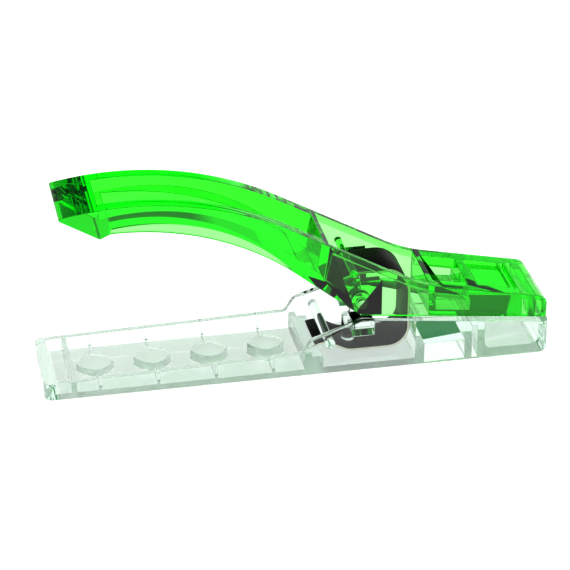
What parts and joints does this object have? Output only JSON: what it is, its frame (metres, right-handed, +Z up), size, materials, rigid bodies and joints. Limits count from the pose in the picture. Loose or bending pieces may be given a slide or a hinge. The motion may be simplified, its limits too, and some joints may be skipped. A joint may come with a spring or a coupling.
{
  "type": "bag clip",
  "caption": "Spring clip for closing bags: flat clear lower lever with a tray, arched green see-through upper lever, and a dark bow spring between them.",
  "frame": {"origin": "on the underside of the lower lever, below the middle of the overall length and of the width", "axes": "+X from the handles to the jaws, +Y across the width, +Z up from the underside"},
  "size_m": [0.116, 0.022, 0.0454],
  "materials": {
    "clear_plastic": "clear, glossy",
    "green_plastic": "see-through green, glossy",
    "dark_steel": "dark blued, satin"
  },
  "bodies": {
    "lower_body": {"lower_lever": "clear_plastic", "bow_spring": "dark_steel"},
    "upper_body": {"upper_lever": "green_plastic"}
  },
  "joints": [
    {"name": "jaw_hinge", "type": "hinge", "parent": "lower_body", "child": "upper_body", "pos_m": [0.0146, 0, 0.0156], "axis": [0, -1, 0], "range_deg": [0, 30], "stiffness_Nm_per_rad": 0.9, "springref_deg": -20.05, "deforming": ["bow_spring"]}
  ]
}
